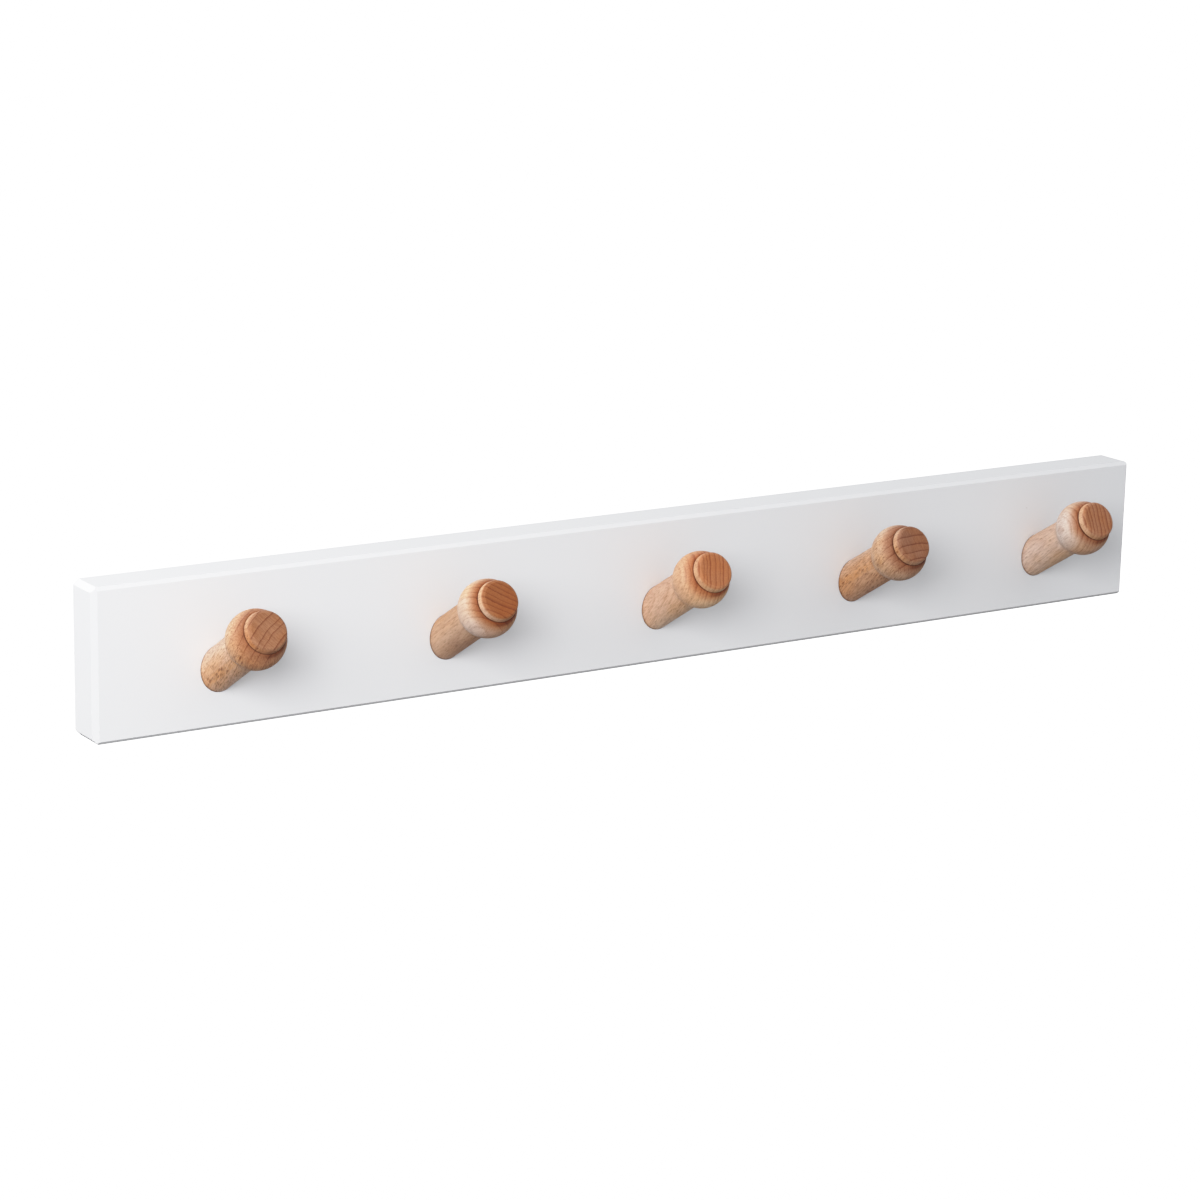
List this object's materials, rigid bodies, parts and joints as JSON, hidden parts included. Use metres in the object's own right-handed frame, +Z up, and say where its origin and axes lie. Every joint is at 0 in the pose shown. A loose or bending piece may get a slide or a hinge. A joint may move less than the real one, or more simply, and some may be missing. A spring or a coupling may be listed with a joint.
{
  "type": "peg rail",
  "caption": "Wall-hung peg rail: a bevelled, white painted board with a row of turned beech pegs that lean up and out, hung from keyhole plates let into its back.",
  "frame": {"origin": "centre of the board's flat wall face", "axes": "+X along the rail, +Y square out of the wall face into the wall, +Z up; the pegs point towards -Y and lean up"},
  "size_m": [0.6, 0.073, 0.0724],
  "materials": {
    "white_paint": "satin white lacquer over wood",
    "beech": "sanded, clear matt oil",
    "zinc_plate": "bright zinc plated, stamped",
    "zinc_screw": "zinc plated"
  },
  "bodies": {
    "root": {"rail": "white_paint", "peg_1": "beech", "peg_2": "beech", "peg_3": "beech", "peg_4": "beech", "peg_5": "beech", "peg_screw_1": "zinc_screw", "peg_screw_2": "zinc_screw", "peg_screw_3": "zinc_screw", "peg_screw_4": "zinc_screw", "peg_screw_5": "zinc_screw", "hanger_screw_left_lower": "zinc_screw", "hanger_screw_left_upper": "zinc_screw", "hanger_screw_right_lower": "zinc_screw", "hanger_screw_right_upper": "zinc_screw", "hanger_plate_left": "zinc_plate", "hanger_plate_right": "zinc_plate"}
  },
  "joints": []
}
